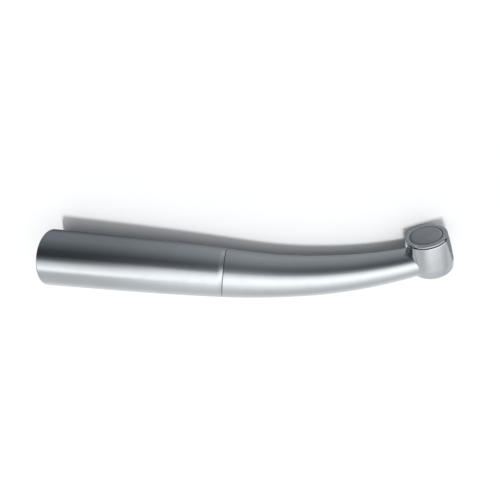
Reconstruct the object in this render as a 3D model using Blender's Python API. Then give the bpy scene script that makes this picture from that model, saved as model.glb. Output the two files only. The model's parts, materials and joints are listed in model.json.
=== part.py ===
"""Prophy contra-angle handpiece with a push-button latch head, lying on its side as it rests on a table.

Everything is laid out in the grip's own frame and hung from one empty, REST, which lays it on the floor:
local X runs along the grip from the motor socket to the head, local Z points to the push-button side.
Turned pieces are described by (distance along their axis, radius) and spun about their local X axis.
"""

import math

import bmesh
import bpy
from mathutils import Matrix, Vector

MM = 0.001
GAP = 0.05 * MM  # clearance kept between neighbouring pieces

# --- Grip: one straight sleeve and one curved neck, joined at a seam ring -----------------------------
SEAM = 45.3 * MM  # grip length behind the seam
SEAM_HALF = 0.18 * MM  # half the width of the groove at the seam
BEND_START = SEAM + 0.28 * MM  # the centreline is straight up to here
BEND_END = 96.2 * MM  # length of the centreline from the socket mouth to the head's axis
BEND_ANGLE = math.radians(26.3)  # how far the neck turns towards the push-button side
BEND_POWER = 1.24  # the turn grows with this power of the distance along the neck
# (distance along the centreline, outer radius) of the grip, joined by a smooth curve
GRIP_STATIONS = [
    (0.0, 7.30 * MM),
    (14.0 * MM, 7.17 * MM),
    (30.0 * MM, 6.87 * MM),
    (SEAM, 6.31 * MM),
    (59.0 * MM, 5.51 * MM),
    (73.8 * MM, 4.76 * MM),
    (86.5 * MM, 3.98 * MM),
    (BEND_END, 3.36 * MM),
]
LIP = 0.5 * MM  # rounding of the sleeve's rear edge

# --- Motor socket and rear bearing, in the chassis inside the sleeve ----------------------------------
CHASSIS_REAR = 0.6 * MM
CHASSIS_STEP = 26.8 * MM
CHASSIS_FRONT = 37.3 * MM
CHASSIS_R = 6.10 * MM
CHASSIS_FRONT_R = 5.68 * MM
SOCKET_R = 4.80 * MM
SOCKET_END = 22.5 * MM
LATCH_GROOVE = (8.0 * MM, 9.3 * MM, 5.35 * MM)  # from, to, radius
SEAT_R = 4.05 * MM
REAR_BEARING = 24.05 * MM
MID_BEARING = 51.0 * MM

# --- Shafts -------------------------------------------------------------------------------------------
KINK = 64.0 * MM  # where the drive shaft's axis meets the neck shaft's axis
SHAFT_R = 1.60 * MM
SHAFT_REAR = 17.0 * MM
JOURNAL_R = 1.20 * MM  # both shafts where they carry the gears at the kink
NECK_SHAFT_R = 1.00 * MM
PINION_JOURNAL_R = 0.62 * MM

# --- Bevel gears ----------------------------------------------------------------------------------------
KINK_TEETH = 14
KINK_CONE = 2.75 * MM  # outer cone distance of the two gears at the kink
KINK_FACE = 1.0 * MM
PINION_TEETH = 8
SPINDLE_TEETH = 16
HEAD_CONE = 3.97 * MM  # outer cone distance of the pair in the head
HEAD_FACE = 1.0 * MM
TOOTH_SHARE = 0.40  # tooth thickness over pitch, so that a pair has backlash
ADDENDUM = 0.75
DEDENDUM = 1.10
PRESSURE_ANGLE = math.radians(20.0)

# --- Head, along its own axis from the point where the neck shaft's axis crosses it ---------------------
HEAD_LIFT = 0.7 * MM  # the shafts cross this much nearer the button than the neck's own centreline does
HEAD_R = 4.97 * MM
HEAD_RIM_R = 4.66 * MM
HEAD_BORE_R = 4.15 * MM
HEAD_BOTTOM = -4.27 * MM
HEAD_TOP = 5.25 * MM
CAP_FLANGE = 5.48 * MM  # underside of the cap's flange, over the groove round the head
CAP_TOP = 5.93 * MM
CAP_WEB = 4.3 * MM  # underside of the cap's inner web
CAP_WEB_THICK = 0.3 * MM
BUTTON_R = 3.5 * MM
BUTTON_EDGE = 0.5 * MM  # thickness of the button at its rim
BUTTON_TRAVEL = 0.35 * MM
UPPER_BEARING = 3.02 * MM
LOWER_BEARING = -3.45 * MM
HEAD_BEARING_WIDTH = 1.18 * MM
SPINDLE_R = 2.00 * MM
SPINDLE_BOTTOM = -4.6 * MM
SPINDLE_TOP = 4.2 * MM
SHANK_BORE_R = 1.20 * MM  # takes a 2.35 mm latch shank

# --- How the handpiece lies on the table ---------------------------------------------------------------
REST_ROLL = math.radians(0.97)  # how far the push-button side is turned up from level
REST_PITCH = math.radians(1.82)  # how far the head end dips


# === Materials ==========================================================================================
def material(name, colour, roughness, metallic):
    made = bpy.data.materials.new(name)
    made.use_nodes = True
    shader = made.node_tree.nodes["Principled BSDF"]
    shader.inputs["Base Color"].default_value = (*colour, 1.0)
    shader.inputs["Roughness"].default_value = roughness
    shader.inputs["Metallic"].default_value = metallic
    return made


for leftover in list(bpy.data.objects):
    bpy.data.objects.remove(leftover)

SATIN_STEEL = material("satin_steel", (0.62, 0.63, 0.65), 0.26, 1.0)
BRIGHT_STEEL = material("bright_steel", (0.74, 0.75, 0.77), 0.12, 1.0)
DARK_STEEL = material("dark_steel", (0.30, 0.31, 0.33), 0.30, 1.0)
BRASS = material("brass", (0.78, 0.60, 0.32), 0.28, 1.0)
BRONZE = material("bronze", (0.62, 0.42, 0.24), 0.35, 1.0)
RUBBER = material("black_rubber", (0.03, 0.03, 0.032), 0.65, 0.0)
CAGE = material("bearing_cage", (0.45, 0.27, 0.14), 0.55, 0.0)


# === Geometry of the centreline ========================================================================
def smooth_value(stations, at):
    """A smooth curve (monotone Hermite) through (position, value) stations, read at one position."""
    slopes = [(b[1] - a[1]) / (b[0] - a[0]) for a, b in zip(stations, stations[1:])]
    tangents = [slopes[0]]
    for before, after in zip(slopes, slopes[1:]):
        same_sign = before * after > 0
        tangents.append(2 * before * after / (before + after) if same_sign else 0.0)
    tangents.append(slopes[-1])
    at = min(max(at, stations[0][0]), stations[-1][0])
    index = max(i for i in range(len(stations) - 1) if stations[i][0] <= at)
    (start, low), (end, high) = stations[index], stations[index + 1]
    span = end - start
    t = (at - start) / span
    return (
        (2 * t**3 - 3 * t**2 + 1) * low
        + (t**3 - 2 * t**2 + t) * span * tangents[index]
        + (3 * t**2 - 2 * t**3) * high
        + (t**3 - t**2) * span * tangents[index + 1]
    )


def grip_radius(along):
    return smooth_value(GRIP_STATIONS, along)


def bend_at(along):
    """The centreline's angle to the grip's axis at a distance along it."""
    share = max(0.0, along - BEND_START) / (BEND_END - BEND_START)
    return BEND_ANGLE * share**BEND_POWER


def centreline(along, steps=200):
    """(x, z) of the centreline at a distance along it."""
    x, z = min(along, BEND_START), 0.0
    step = max(0.0, along - BEND_START) / steps
    for k in range(steps if step else 0):
        angle = bend_at(BEND_START + (k + 0.5) * step)
        x += step * math.cos(angle)
        z += step * math.sin(angle)
    return x, z


# The head's axis crosses the end of the centreline at a right angle to it.
HEAD_POINT = Vector((centreline(BEND_END)[0], 0.0, centreline(BEND_END)[1]))
HEAD_POINT += HEAD_LIFT * Vector((-math.sin(BEND_ANGLE), 0.0, math.cos(BEND_ANGLE)))
KINK_POINT = Vector((KINK, 0.0, 0.0))
NECK_ANGLE = math.atan2(HEAD_POINT.z, HEAD_POINT.x - KINK)
NECK_LENGTH = (HEAD_POINT - KINK_POINT).length
# angles between the two axes of each bevel pair, both taken from the apex towards the gears
KINK_SHAFTS = math.pi - NECK_ANGLE
HEAD_SHAFTS = math.pi / 2 - BEND_ANGLE + NECK_ANGLE


# === Frames =============================================================================================
def empty(name, parent=None, location=(0, 0, 0), turn_y=0.0):
    made = bpy.data.objects.new(name, None)
    bpy.context.scene.collection.objects.link(made)
    made.parent = parent
    made.location = location
    made.rotation_euler = (0.0, turn_y, 0.0)
    return made


REST = empty("rest_frame")
REST.rotation_mode = "QUATERNION"
REST.rotation_quaternion = (
    Matrix.Rotation(REST_PITCH, 3, "Y") @ Matrix.Rotation(REST_ROLL - math.pi / 2, 3, "X")
).to_quaternion()
GRIP = empty("grip_axis", REST)
NECK = empty("neck_shaft_axis", REST, KINK_POINT, -NECK_ANGLE)
HEAD = empty("head_axis", REST, HEAD_POINT, -(BEND_ANGLE + math.pi / 2))


# === Mesh helpers =======================================================================================
def finish(name, bm, frame, surface, sharp=math.radians(32)):
    """Makes the bmesh one closed, outward-facing object in a frame."""
    bmesh.ops.remove_doubles(bm, verts=bm.verts, dist=0.0005 * MM)
    bmesh.ops.recalc_face_normals(bm, faces=bm.faces)
    mesh = bpy.data.meshes.new(name)
    bm.to_mesh(mesh)
    bm.free()
    mesh.shade_smooth()
    mesh.set_sharp_from_angle(angle=sharp)
    mesh.materials.append(surface)
    made = bpy.data.objects.new(name, mesh)
    bpy.context.scene.collection.objects.link(made)
    made.parent = frame
    return made


def turned(name, profile, frame, surface, sides=24, arc=2 * math.pi, phase=0.0):
    """A closed (along, radius) outline spun about the frame's X axis. An arc under a full turn gets end faces."""
    bm = bmesh.new()
    start = Matrix.Rotation(phase, 3, "X")
    ring = [bm.verts.new(start @ Vector((x, 0.0, r))) for x, r in profile]
    whole = arc > 2 * math.pi - 1e-6
    if whole:
        parts = [bm.edges.new(pair) for pair in zip(ring, ring[1:] + ring[:1])]
    else:
        parts = [bm.faces.new(ring)]
    bmesh.ops.spin(
        bm,
        geom=ring + parts,
        cent=(0, 0, 0),
        axis=(1, 0, 0),
        angle=arc,
        steps=sides,
        use_merge=whole,
    )
    on_axis = [edge for edge in bm.edges if edge.calc_length() < 1e-9]
    bmesh.ops.dissolve_degenerate(bm, dist=0.0005 * MM, edges=on_axis or bm.edges)
    return finish(name, bm, frame, surface)


def rod(name, frame, surface, start, end, radius, sides=20):
    """A plain round bar along the frame's X axis."""
    return turned(
        name, [(start, 0), (start, radius), (end, radius), (end, 0)], frame, surface, sides
    )


def ring_profile(start, end, inner, outer, chamfer=0.0):
    c = chamfer
    if not c:
        return [(start, inner), (start, outer), (end, outer), (end, inner)]
    return [(start, inner), (start, outer - c), (start + c, outer), (end - c, outer), (end, outer - c), (end, inner)]


def cut(target, cutter):
    """Takes the cutter's shape out of the target and keeps the cutter as a hidden helper."""
    cutter.hide_render = True
    cutter.display_type = "WIRE"
    boolean = target.modifiers.new("cut_" + cutter.name, "BOOLEAN")
    boolean.operation = "DIFFERENCE"
    boolean.object = cutter
    return target


def join(target, other):
    """Adds another shape to the target with a union, and hides it as a helper."""
    other.hide_render = True
    other.display_type = "WIRE"
    boolean = target.modifiers.new("join_" + other.name, "BOOLEAN")
    boolean.operation = "UNION"
    boolean.object = other
    return target


def box(name, frame, size, centre):
    """A plain block, its centre moved along the frame's axes and its origin left at the frame's."""
    bm = bmesh.new()
    bmesh.ops.create_cube(bm, size=1.0)
    bmesh.ops.scale(bm, verts=bm.verts, vec=size)
    bmesh.ops.translate(bm, verts=bm.verts, vec=centre)
    return finish(name, bm, frame, DARK_STEEL)


def cross_hole(name, frame, along, radius, reach, sides=12):
    """A cutter for a round hole across a shaft, along the frame's Y axis."""
    hole = rod(name, frame, DARK_STEEL, -reach, reach, radius, sides)
    hole.location = (along, 0, 0)
    hole.rotation_euler = (0, 0, math.pi / 2)
    return hole


# === Bearings ===========================================================================================
def ball_bearing(name, frame, start, width, bore, outside, ball, count, sides=20):
    """Outer ring, inner ring, and one node for the cage with its balls. Returns the balls' pitch radius."""
    middle = start + width / 2
    pitch = (bore + outside) / 2
    land = ball * 0.72  # radial distance from the pitch circle to a ring's shoulder
    seat = ball + 0.08 * MM  # radial distance from the pitch circle to the groove's floor
    for ring, back, towards in (("_outer", outside, 1), ("_inner", bore, -1)):
        groove = [(-0.8, land), (-0.4, seat), (0.4, seat), (0.8, land)]
        profile = [(start, back), (start, pitch + towards * land)]
        profile += [(middle + share * ball, pitch + towards * depth) for share, depth in groove]
        profile += [(start + width, pitch + towards * land), (start + width, back)]
        turned(name + ring, profile, frame, BRIGHT_STEEL, sides)
    half_cage = ball * 0.42
    cage = turned(
        name + "_balls",
        ring_profile(middle - half_cage, middle + half_cage, pitch - ball * 0.35, pitch + ball * 0.35),
        frame,
        CAGE,
        sides=count * 2,
    )
    for k in range(count):
        bm = bmesh.new()
        bmesh.ops.create_uvsphere(bm, u_segments=7, v_segments=4, radius=ball)
        angle = 2 * math.pi * (k + 0.5) / count
        bmesh.ops.translate(
            bm, verts=bm.verts, vec=(middle, pitch * math.sin(angle), pitch * math.cos(angle))
        )
        join(cage, finish(f"{name}_ball_{k}", bm, frame, BRIGHT_STEEL))
    return pitch


# === Bevel gears ========================================================================================
def cone_angles(teeth_a, teeth_b, between_axes):
    """Pitch-cone half angles of a bevel pair whose axes meet at an angle."""
    a = math.atan2(math.sin(between_axes), teeth_b / teeth_a + math.cos(between_axes))
    return a, between_axes - a


def bevel_gear(name, frame, apex, side, teeth, cone, cone_distance, face, bore, hub, surface, offset):
    """A straight bevel gear about the frame's X axis, every tooth line running to the apex at (apex, 0, 0).

    side is +1 if the gear lies ahead of its apex and -1 if it lies behind; cone is the pitch cone's half
    angle; hub is (radius, distance of its back face from the apex); offset turns the teeth by that share
    of a pitch from having one centred on the frame's Z axis.
    """
    pitch_radius = cone_distance * math.sin(cone)
    module = 2 * pitch_radius / teeth
    half_tooth = math.pi * module * TOOTH_SHARE / 2

    def rim_point(height, half_width, sign, centre):
        """A point of the tooth outline at the large end: height is above the pitch cone, along its normal."""
        radius = pitch_radius + height * math.cos(cone)
        axial = cone_distance * math.cos(cone) - height * math.sin(cone)
        angle = centre + sign * half_width / radius
        return axial, radius, angle

    outline = []
    for k in range(teeth):
        centre = 2 * math.pi * (k + offset) / teeth
        for height, sign in ((-DEDENDUM, -1), (ADDENDUM, -1), (ADDENDUM, 1), (-DEDENDUM, 1)):
            half_width = half_tooth - height * module * math.tan(PRESSURE_ANGLE)
            outline.append(rim_point(height * module, half_width, sign, centre))
    shrink = (cone_distance - face) / cone_distance
    root_axial = min(p[0] for p in outline) * shrink

    def ring(points):
        return [(side * x, r, a) for x, r, a in points]

    hub_radius, back = hub
    rings = [
        ring(outline),
        ring([(x * shrink, r * shrink, a) for x, r, a in outline]),
        ring([(root_axial + 0.12 * MM, bore, a) for _, _, a in outline]),
        ring([(back, bore, a) for _, _, a in outline]),
        ring([(back, hub_radius, a) for _, _, a in outline]),
    ]
    bm = bmesh.new()
    loops = [
        [bm.verts.new((apex + x, -r * math.sin(a), r * math.cos(a))) for x, r, a in points]
        for points in rings
    ]
    for one, two in zip(loops, loops[1:] + loops[:1]):
        for k in range(len(one)):
            following = (k + 1) % len(one)
            bm.faces.new((one[k], one[following], two[following], two[k]))
    return finish(name, bm, frame, surface, sharp=math.radians(20))


# === Casings ============================================================================================
def build_sleeve():
    """The straight rear half of the grip, with a rounded rear lip."""
    front = SEAM - SEAM_HALF
    outer = [(LIP * (1 - math.cos(a)), GRIP_STATIONS[0][1] - LIP * (1 - math.sin(a)))
             for a in (0.0, math.pi / 6, math.pi / 3)]
    outer += [(x, grip_radius(x)) for x in (LIP, 12 * MM, 21 * MM, 30 * MM, 38 * MM, front)]
    bore = [
        (front, NECK_SPIGOT_R + GAP),
        (CHASSIS_FRONT + 0.4 * MM, NECK_SPIGOT_R + GAP),
        (CHASSIS_FRONT + 0.4 * MM, CHASSIS_FRONT_R + GAP),
        (CHASSIS_STEP + 0.1 * MM, CHASSIS_FRONT_R + GAP),
        (CHASSIS_STEP + 0.1 * MM, CHASSIS_R + GAP),
        (0.0, CHASSIS_R + GAP),
    ]
    sides = 40
    # one flat side faces straight down when the handpiece lies on its side, so that it rests without rocking
    phase = math.pi / sides - REST_ROLL
    return turned("rear_sleeve", outer + bore, GRIP, SATIN_STEEL, sides, phase=phase)


def build_chassis():
    """The solid core of the grip: motor socket with its latch groove, then the rear bearing's seat."""
    groove_from, groove_to, groove_r = LATCH_GROOVE
    mouth = 0.5 * MM
    return turned(
        "coupling_chassis",
        [
            (CHASSIS_REAR, CHASSIS_R),
            (CHASSIS_STEP, CHASSIS_R),
            (CHASSIS_STEP, CHASSIS_FRONT_R),
            (CHASSIS_FRONT, CHASSIS_FRONT_R),
            (CHASSIS_FRONT, SEAT_R + 0.5 * MM),
            (REAR_BEARING + 6 * MM, SEAT_R + 0.5 * MM),
            (REAR_BEARING + 6 * MM, SEAT_R),
            (REAR_BEARING - GAP, SEAT_R),
            (REAR_BEARING - GAP, 3.2 * MM),
            (SOCKET_END, 3.2 * MM),
            (SOCKET_END, SOCKET_R),
            (groove_to, SOCKET_R),
            (groove_to, groove_r),
            (groove_from, groove_r),
            (groove_from, SOCKET_R),
            (CHASSIS_REAR + mouth, SOCKET_R),
            (CHASSIS_REAR, SOCKET_R + mouth),
        ],
        GRIP,
        BRASS,
        sides=24,
    )


NECK_SPIGOT_R = 5.45 * MM
NECK_SPIGOT_REAR = 38.2 * MM
SEAL_AT = 40.4 * MM
SEAL_WIRE = 0.26 * MM
NECK_SIDES = 36
NECK_RINGS = 16


def build_neck():
    """The curved front half of the grip, drilled straight from both ends to meet at the kink."""
    front_of_seam = SEAM + SEAM_HALF
    bm = bmesh.new()
    loops = []

    def add_loop(along, radius):
        x, z = centreline(along)
        bend = bend_at(along)
        centre, side_way = Vector((x, 0, z)), Vector((-math.sin(bend), 0, math.cos(bend)))
        turns = [2 * math.pi * k / NECK_SIDES for k in range(NECK_SIDES)]
        loops.append(
            [
                bm.verts.new(centre + radius * (math.cos(a) * side_way + math.sin(a) * Vector((0, 1, 0))))
                for a in turns
            ]
        )

    seal_floor = NECK_SPIGOT_R - 2 * SEAL_WIRE - GAP
    seal_half = SEAL_WIRE + 2 * GAP
    add_loop(NECK_SPIGOT_REAR, NECK_SPIGOT_R)
    add_loop(SEAL_AT - seal_half, NECK_SPIGOT_R)
    add_loop(SEAL_AT - seal_half, seal_floor)
    add_loop(SEAL_AT + seal_half, seal_floor)
    add_loop(SEAL_AT + seal_half, NECK_SPIGOT_R)
    add_loop(front_of_seam, NECK_SPIGOT_R)
    for k in range(NECK_RINGS + 1):
        along = front_of_seam + (BEND_END - front_of_seam) * k / NECK_RINGS
        add_loop(along, grip_radius(along))
    for one, two in zip(loops, loops[1:]):
        for k in range(NECK_SIDES):
            following = (k + 1) % NECK_SIDES
            bm.faces.new((one[k], one[following], two[following], two[k]))
    bm.faces.new(loops[0])
    bm.faces.new(loops[-1])
    neck = finish("neck_shell", bm, GRIP, SATIN_STEEL)
    rear_bore = turned(
        "neck_rear_bore",
        [
            (NECK_SPIGOT_REAR - MM, 0),
            (NECK_SPIGOT_REAR - MM, SEAT_R),
            (MID_BEARING + 2.6 * MM, SEAT_R),
            (MID_BEARING + 2.6 * MM, 3.4 * MM),
            (KINK + 1.0 * MM, 3.4 * MM),
            (KINK + 1.0 * MM, 0),
        ],
        GRIP,
        DARK_STEEL,
        sides=24,
    )
    front_bore = turned(
        "neck_front_bore",
        [
            (-1.5 * MM, 0),
            (-1.5 * MM, 3.0 * MM),
            (NECK_SEAT_END, 3.0 * MM),
            (NECK_SEAT_END, NECK_BORE_R),
            (NECK_LENGTH + MM, NECK_BORE_R),
            (NECK_LENGTH + MM, 0),
        ],
        NECK,
        DARK_STEEL,
        sides=24,
    )
    head_seat = rod("neck_head_seat", HEAD, DARK_STEEL, -12 * MM, 12 * MM, HEAD_R + GAP, sides=48)
    cut(neck, rear_bore)
    cut(neck, front_bore)
    return cut(neck, head_seat)


NECK_SEAT_END = 6.4 * MM  # along the neck shaft: end of its rear bearing's seat
NECK_BORE_R = 2.15 * MM
BUSH_LENGTH = 6.0 * MM


def build_head_casing():
    """The head's barrel-shaped casing, open at the top for the cap and at the bottom for the spindle."""
    nose = 1.5 * MM
    outer = [(HEAD_BOTTOM, HEAD_R - nose)]
    outer += [
        (HEAD_BOTTOM + nose * (1 - math.cos(a)), HEAD_R - 0.12 * MM - nose * (1 - math.sin(a)))
        for a in (math.pi / 6, math.pi / 3, math.pi / 2)
    ]
    outer += [(-1.2 * MM, HEAD_R), (1.5 * MM, HEAD_R - 0.05 * MM), (3.6 * MM, HEAD_R - 0.16 * MM)]
    outer += [(HEAD_TOP - 0.12 * MM, HEAD_RIM_R + 0.03 * MM), (HEAD_TOP, HEAD_RIM_R - 0.08 * MM)]
    floor = LOWER_BEARING - GAP
    casing = turned(
        "head_casing",
        outer + [(HEAD_TOP, HEAD_BORE_R), (floor, HEAD_BORE_R), (floor, 2.5 * MM), (HEAD_BOTTOM, 2.5 * MM)],
        HEAD,
        SATIN_STEEL,
        sides=40,
    )
    window = rod(
        "head_window", NECK, DARK_STEEL, NECK_LENGTH - 7 * MM, NECK_LENGTH - 2.6 * MM, NECK_BORE_R, sides=24
    )
    return cut(casing, window)


def build_cap_and_button():
    """The ring that screws into the head's top, the button that rides in it, and the spring between them."""
    cap = turned(
        "back_cap",
        [
            (CAP_WEB, 1.7 * MM),
            (CAP_WEB, HEAD_BORE_R - GAP),
            (CAP_FLANGE, HEAD_BORE_R - GAP),
            (CAP_FLANGE, HEAD_RIM_R - 0.08 * MM),
            (CAP_FLANGE + 0.1 * MM, HEAD_RIM_R),
            (CAP_TOP - 0.12 * MM, HEAD_RIM_R),
            (CAP_TOP, HEAD_RIM_R - 0.12 * MM),
            (CAP_TOP, BUTTON_R + 0.1 * MM),
            (CAP_WEB + CAP_WEB_THICK, BUTTON_R + 0.1 * MM),
            (CAP_WEB + CAP_WEB_THICK, 1.7 * MM),
        ],
        HEAD,
        SATIN_STEEL,
        sides=36,
    )
    for k in range(4):  # four notches for the key that unscrews the cap
        notch = box(f"cap_notch_{k}", HEAD, (1.2 * MM, 0.95 * MM, 0.8 * MM), (CAP_TOP, 0, HEAD_RIM_R))
        notch.rotation_euler = ((k + 0.5) * math.pi / 2, 0, 0)
        cut(cap, notch)
    underside = CAP_TOP - BUTTON_EDGE
    stem = SPINDLE_TOP + BUTTON_TRAVEL + 0.1 * MM
    dome = [
        (CAP_TOP + 0.16 * MM * math.cos(a), BUTTON_R * math.sin(a) * 0.95)
        for a in (math.pi / 3, math.pi / 6, 0.0)
    ]
    turned(
        "push_button",
        [(stem, 0), (stem, 1.4 * MM), (underside, 1.4 * MM), (underside, BUTTON_R), (CAP_TOP, BUTTON_R)] + dome,
        HEAD,
        DARK_STEEL,
        sides=32,
    )
    build_button_spring(CAP_WEB + CAP_WEB_THICK + GAP, underside - GAP)


def build_button_spring(low, high):
    """A wave spring: one thin ring that touches the cap's web and the button three times each."""
    thick, inner, outer, around, waves = 0.12 * MM, 2.2 * MM, 2.9 * MM, 36, 3
    middle, swing = (low + high) / 2, (high - low - thick) / 2
    bm = bmesh.new()
    loops = []
    for k in range(around):
        turn = 2 * math.pi * k / around
        at = middle + swing * math.cos(waves * turn)
        corners = [(-1, inner), (1, inner), (1, outer), (-1, outer)]
        loops.append(
            [
                bm.verts.new((at + side * thick / 2, r * math.sin(turn), r * math.cos(turn)))
                for side, r in corners
            ]
        )
    for one, two in zip(loops, loops[1:] + loops[:1]):
        for j in range(4):
            following = (j + 1) % 4
            bm.faces.new((one[j], one[following], two[following], two[j]))
    return finish("button_spring", bm, HEAD, BRIGHT_STEEL)


def build_seam_and_seal():
    """The ring at the bottom of the seam's groove, and the O-ring that grips the sleeve."""
    turned(
        "joint_ring",
        ring_profile(SEAM - SEAM_HALF + GAP, SEAM + SEAM_HALF - GAP, NECK_SPIGOT_R + GAP, 5.95 * MM),
        GRIP,
        DARK_STEEL,
        sides=40,
    )
    centre_r = NECK_SPIGOT_R - SEAL_WIRE
    turns = [math.pi * k / 3 for k in range(6)]
    turned(
        "sleeve_seal",
        [(SEAL_AT + SEAL_WIRE * math.cos(a), centre_r + SEAL_WIRE * math.sin(a)) for a in turns],
        GRIP,
        RUBBER,
        sides=28,
    )


# === Drive train ========================================================================================
def build_drive_shaft():
    """The straight shaft from the motor's dog to the kink, its dog, cross pin, gear and bearings."""
    ends = KINK - 0.75 * MM
    shaft = turned(
        "drive_shaft",
        [
            (SHAFT_REAR, 0),
            (SHAFT_REAR, SHAFT_R - 0.2 * MM),
            (SHAFT_REAR + 0.2 * MM, SHAFT_R),
            (REAR_BEARING + 2.6 * MM, SHAFT_R),
            (REAR_BEARING + 2.6 * MM, SHAFT_R + 0.5 * MM),
            (REAR_BEARING + 3.6 * MM, SHAFT_R + 0.5 * MM),
            (REAR_BEARING + 3.6 * MM, SHAFT_R),
            (KINK - 3.2 * MM, SHAFT_R),
            (KINK - 3.2 * MM, JOURNAL_R),
            (ends, JOURNAL_R),
            (ends, 0),
        ],
        GRIP,
        BRIGHT_STEEL,
        sides=20,
    )
    dog = turned(
        "drive_dog",
        ring_profile(14.6 * MM, 21.6 * MM, SHAFT_R + GAP, 2.45 * MM, 0.2 * MM),
        GRIP,
        DARK_STEEL,
        sides=24,
    )
    cut(dog, box("dog_slot", GRIP, (4.0 * MM, 7 * MM, 1.3 * MM), (14.6 * MM, 0, 0)))
    pin_at, pin_r = 19.4 * MM, 0.42 * MM
    cut(shaft, cross_hole("shaft_pin_hole", GRIP, pin_at, pin_r + GAP, 3.2 * MM))
    cut(dog, cross_hole("dog_pin_hole", GRIP, pin_at, pin_r + GAP, 3.2 * MM))
    pin = rod("dog_pin", GRIP, BRIGHT_STEEL, -2.35 * MM, 2.35 * MM, pin_r, 12)
    pin.location = (pin_at, 0, 0)
    pin.rotation_euler = (0, 0, math.pi / 2)
    ball_bearing("rear_bearing", GRIP, REAR_BEARING, 2.5 * MM, SHAFT_R + GAP, SEAT_R - GAP, 0.62 * MM, 8)
    ball_bearing("mid_bearing", GRIP, MID_BEARING, 2.5 * MM, SHAFT_R + GAP, SEAT_R - GAP, 0.62 * MM, 8)
    turned(
        "bearing_circlip",
        ring_profile(REAR_BEARING + 2.65 * MM, REAR_BEARING + 3.3 * MM, 3.15 * MM, SEAT_R - GAP),
        GRIP,
        DARK_STEEL,
        sides=20,
        arc=math.radians(310),
        phase=math.radians(25),
    )
    turned(
        "bearing_nut",
        ring_profile(MID_BEARING - 1.7 * MM, MID_BEARING - 0.1 * MM, 2.7 * MM, SEAT_R - GAP),
        GRIP,
        BRASS,
        sides=24,
    )


def build_kink_gears():
    """Two equal bevel gears that carry the turn round the kink."""
    cone, _ = cone_angles(1, 1, KINK_SHAFTS)
    for name, frame, apex, side, offset in (
        ("drive_gear", GRIP, KINK, -1, 0.0),
        ("neck_shaft_gear", NECK, 0.0, 1, 0.5),
    ):
        bevel_gear(
            name, frame, apex, side, KINK_TEETH, cone, KINK_CONE, KINK_FACE,
            JOURNAL_R + GAP, (2.3 * MM, 3.0 * MM), BRIGHT_STEEL, offset,
        )


def build_neck_shaft():
    """The shaft in the neck, with its bearing, bush and the pinion that drives the spindle."""
    pinion_cone, spindle_cone = cone_angles(PINION_TEETH, SPINDLE_TEETH, HEAD_SHAFTS)
    pinion_hub_back = 4.75 * MM
    bush_front = NECK_LENGTH - pinion_hub_back - 0.15 * MM
    shaft_front = NECK_LENGTH - 2.95 * MM
    turned(
        "neck_shaft",
        [
            (0.75 * MM, 0),
            (0.75 * MM, JOURNAL_R),
            (3.6 * MM, JOURNAL_R),
            (3.6 * MM, NECK_SHAFT_R),
            (NECK_LENGTH - pinion_hub_back - GAP, NECK_SHAFT_R),
            (NECK_LENGTH - pinion_hub_back - GAP, PINION_JOURNAL_R),
            (shaft_front, PINION_JOURNAL_R),
            (shaft_front, 0),
        ],
        NECK,
        BRIGHT_STEEL,
        sides=16,
    )
    ball_bearing("neck_bearing", NECK, 4.3 * MM, 2.0 * MM, NECK_SHAFT_R + GAP, 3.0 * MM - GAP, 0.5 * MM, 7, 20)
    turned(
        "neck_bush",
        ring_profile(bush_front - BUSH_LENGTH, bush_front, NECK_SHAFT_R + GAP, NECK_BORE_R - GAP),
        NECK,
        BRONZE,
        sides=20,
    )
    bevel_gear(
        "head_pinion", NECK, NECK_LENGTH, -1, PINION_TEETH, pinion_cone, HEAD_CONE, HEAD_FACE,
        PINION_JOURNAL_R + GAP, (1.25 * MM, pinion_hub_back), BRIGHT_STEEL, 0.0,
    )
    bevel_gear(
        "spindle_gear", HEAD, 0.0, 1, SPINDLE_TEETH, spindle_cone, HEAD_CONE, HEAD_FACE,
        SPINDLE_R + GAP, (3.1 * MM, 2.95 * MM), BRIGHT_STEEL, 0.5,
    )


def build_spindle():
    """The hollow spindle, the slit collet inside it that grips the cup's shank, and its two bearings."""
    turned(
        "spindle",
        [
            (SPINDLE_BOTTOM, SHANK_BORE_R + 0.1 * MM),
            (SPINDLE_BOTTOM, SPINDLE_R - 0.15 * MM),
            (SPINDLE_BOTTOM + 0.15 * MM, SPINDLE_R),
            (SPINDLE_TOP, SPINDLE_R),
            (SPINDLE_TOP, SHANK_BORE_R + 0.4 * MM),
            (SPINDLE_BOTTOM + 1.0 * MM, SHANK_BORE_R + 0.4 * MM),
            (SPINDLE_BOTTOM + 1.0 * MM, SHANK_BORE_R + 0.1 * MM),
        ],
        HEAD,
        BRIGHT_STEEL,
        sides=24,
    )
    collet = turned(
        "chuck_collet",
        ring_profile(SPINDLE_BOTTOM + 1.1 * MM, SPINDLE_TOP, SHANK_BORE_R, SHANK_BORE_R + 0.4 * MM - GAP),
        HEAD,
        DARK_STEEL,
        sides=24,
    )
    cut(collet, box("collet_slit", HEAD, (10 * MM, 5 * MM, 0.3 * MM), (SPINDLE_BOTTOM + 1.1 * MM, 0, 0)))
    for name, start in (("head_upper_bearing", UPPER_BEARING), ("head_lower_bearing", LOWER_BEARING)):
        ball_bearing(name, HEAD, start, HEAD_BEARING_WIDTH, SPINDLE_R + GAP, HEAD_BORE_R - GAP, 0.46 * MM, 9)


build_sleeve()
build_chassis()
build_neck()
build_seam_and_seal()
build_head_casing()
build_cap_and_button()
build_drive_shaft()
build_kink_gears()
build_neck_shaft()
build_spindle()


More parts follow.
